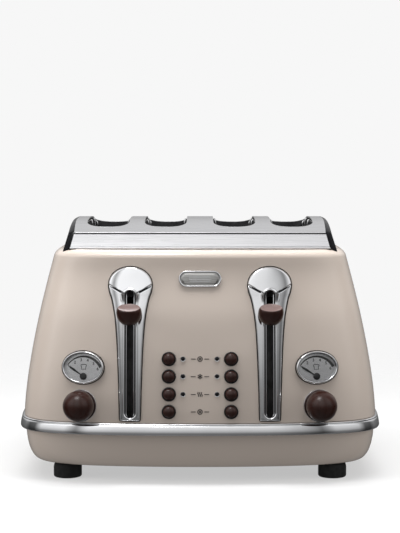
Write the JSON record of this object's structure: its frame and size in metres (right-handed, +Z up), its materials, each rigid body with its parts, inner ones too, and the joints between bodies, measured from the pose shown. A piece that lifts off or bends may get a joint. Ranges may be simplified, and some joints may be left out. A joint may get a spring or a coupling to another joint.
{
  "type": "pop-up toaster",
  "caption": "Pop-up toaster with a flared enamelled casing, an arched steel crown over long bread slots, sliding levers, push buttons, dial gauges and browning knobs.",
  "frame": {"origin": "on the supporting surface, under the centre of the whole object's box", "axes": "+X to the right seen from the front, +Y towards the back, +Z up; the levers and gauges face -Y"},
  "size_m": [0.339, 0.2888, 0.237],
  "materials": {
    "cream_enamel": "gloss",
    "chrome": "polished",
    "brushed_steel": "brushed",
    "sheet_steel": "satin",
    "brown_plastic": "gloss",
    "black_plastic": "satin",
    "rubber": "matte",
    "mica": "matte",
    "circuit_board": "satin",
    "clear_plastic": "gloss",
    "dial_face": "satin"
  },
  "bodies": {
    "housing": {"body_shell": "cream_enamel", "base_skirt": "cream_enamel", "chrome_band": "chrome", "badge_plate": "chrome", "crown_panel": "brushed_steel", "bottom_plate": "sheet_steel", "chassis": "sheet_steel", "crown_end_left": "black_plastic", "crown_end_right": "black_plastic", "cord_gland": "black_plastic", "control_board": "circuit_board", "foot_front_left": "rubber", "foot_front_right": "rubber", "foot_rear_left": "rubber", "foot_rear_right": "rubber", "lever_escutcheon_left": "chrome", "gauge_bezel_left": "chrome", "knob_ring_left": "chrome", "guide_rod_left": "brushed_steel", "lift_spring_left": "brushed_steel", "bread_cage_left_inner": "brushed_steel", "bread_cage_left_outer": "brushed_steel", "heater_board_left_inner": "mica", "heater_board_left_middle": "mica", "heater_board_left_outer": "mica", "button_housing_left": "black_plastic", "light_pipe_left": "clear_plastic", "gauge_lens_left": "clear_plastic", "gauge_dial_left": "dial_face", "lever_escutcheon_right": "chrome", "gauge_bezel_right": "chrome", "knob_ring_right": "chrome", "guide_rod_right": "brushed_steel", "lift_spring_right": "brushed_steel", "bread_cage_right_inner": "brushed_steel", "bread_cage_right_outer": "brushed_steel", "heater_board_right_inner": "mica", "heater_board_right_middle": "mica", "heater_board_right_outer": "mica", "button_housing_right": "black_plastic", "light_pipe_right": "clear_plastic", "gauge_lens_right": "clear_plastic", "gauge_dial_right": "dial_face"},
    "left_carriage": {"bread_carriage_left": "brushed_steel", "lever_knob_left": "brown_plastic"},
    "left_browning_knob": {"browning_knob_left": "brown_plastic"},
    "left_needle": {"gauge_needle_left": "black_plastic"},
    "left_button_1": {"button_left_1": "brown_plastic"},
    "left_button_2": {"button_left_2": "brown_plastic"},
    "left_button_3": {"button_left_3": "brown_plastic"},
    "left_button_4": {"button_left_4": "brown_plastic"},
    "right_carriage": {"bread_carriage_right": "brushed_steel", "lever_knob_right": "brown_plastic"},
    "right_browning_knob": {"browning_knob_right": "brown_plastic"},
    "right_needle": {"gauge_needle_right": "black_plastic"},
    "right_button_1": {"button_right_1": "brown_plastic"},
    "right_button_2": {"button_right_2": "brown_plastic"},
    "right_button_3": {"button_right_3": "brown_plastic"},
    "right_button_4": {"button_right_4": "brown_plastic"},
    "crumb_tray": {"crumb_tray": "cream_enamel"}
  },
  "joints": [
    {"name": "left_lever", "type": "slide", "parent": "housing", "child": "left_carriage", "axis": [0, 0, 1], "range_m": [-0.085, 0.012], "stiffness_N_per_m": 80, "springref_m": 0.0095, "deforming": ["lift_spring_left"]},
    {"name": "right_lever", "type": "slide", "parent": "housing", "child": "right_carriage", "axis": [0, 0, 1], "range_m": [-0.085, 0.012], "stiffness_N_per_m": 80, "springref_m": 0.0095, "deforming": ["lift_spring_right"]},
    {"name": "left_button_1_press", "type": "slide", "parent": "housing", "child": "left_button_1", "axis": [0, 0.996, -0.0894], "range_m": [0, 0.002], "stiffness_N_per_m": 200, "springref_m": -0.0005},
    {"name": "left_button_2_press", "type": "slide", "parent": "housing", "child": "left_button_2", "axis": [0, 0.996, -0.0894], "range_m": [0, 0.002], "stiffness_N_per_m": 200, "springref_m": -0.0005},
    {"name": "left_button_3_press", "type": "slide", "parent": "housing", "child": "left_button_3", "axis": [0, 0.996, -0.0894], "range_m": [0, 0.002], "stiffness_N_per_m": 200, "springref_m": -0.0005},
    {"name": "left_button_4_press", "type": "slide", "parent": "housing", "child": "left_button_4", "axis": [0, 0.996, -0.0894], "range_m": [0, 0.002], "stiffness_N_per_m": 200, "springref_m": -0.0005},
    {"name": "right_button_1_press", "type": "slide", "parent": "housing", "child": "right_button_1", "axis": [0, 0.996, -0.0894], "range_m": [0, 0.002], "stiffness_N_per_m": 200, "springref_m": -0.0005},
    {"name": "right_button_2_press", "type": "slide", "parent": "housing", "child": "right_button_2", "axis": [0, 0.996, -0.0894], "range_m": [0, 0.002], "stiffness_N_per_m": 200, "springref_m": -0.0005},
    {"name": "right_button_3_press", "type": "slide", "parent": "housing", "child": "right_button_3", "axis": [0, 0.996, -0.0894], "range_m": [0, 0.002], "stiffness_N_per_m": 200, "springref_m": -0.0005},
    {"name": "right_button_4_press", "type": "slide", "parent": "housing", "child": "right_button_4", "axis": [0, 0.996, -0.0894], "range_m": [0, 0.002], "stiffness_N_per_m": 200, "springref_m": -0.0005},
    {"name": "left_browning_turn", "type": "hinge", "parent": "housing", "child": "left_browning_knob", "pos_m": [-0.1073, -0.11728, 0.071], "axis": [0.2007, 0.9767, -0.0758], "range_deg": [0, 228]},
    {"name": "right_browning_turn", "type": "hinge", "parent": "housing", "child": "right_browning_knob", "pos_m": [0.1073, -0.11728, 0.071], "axis": [-0.2007, 0.9767, -0.0758], "range_deg": [0, 228]},
    {"name": "left_needle_turn", "type": "hinge", "parent": "housing", "child": "left_needle", "pos_m": [-0.10582, -0.11493, 0.09707], "axis": [0.2098, 0.9687, -0.1324], "range_deg": [0, 114]},
    {"name": "right_needle_turn", "type": "hinge", "parent": "housing", "child": "right_needle", "pos_m": [0.10582, -0.11493, 0.09707], "axis": [-0.2098, 0.9687, -0.1324], "range_deg": [0, 114]},
    {"name": "crumb_tray_slide", "type": "slide", "parent": "housing", "child": "crumb_tray", "axis": [0, 1, 0], "range_m": [0, 0.17]}
  ],
  "couplings": [
    {"joint": "left_needle_turn", "follows": "left_browning_turn", "ratio": 0.5},
    {"joint": "right_needle_turn", "follows": "right_browning_turn", "ratio": 0.5}
  ]
}
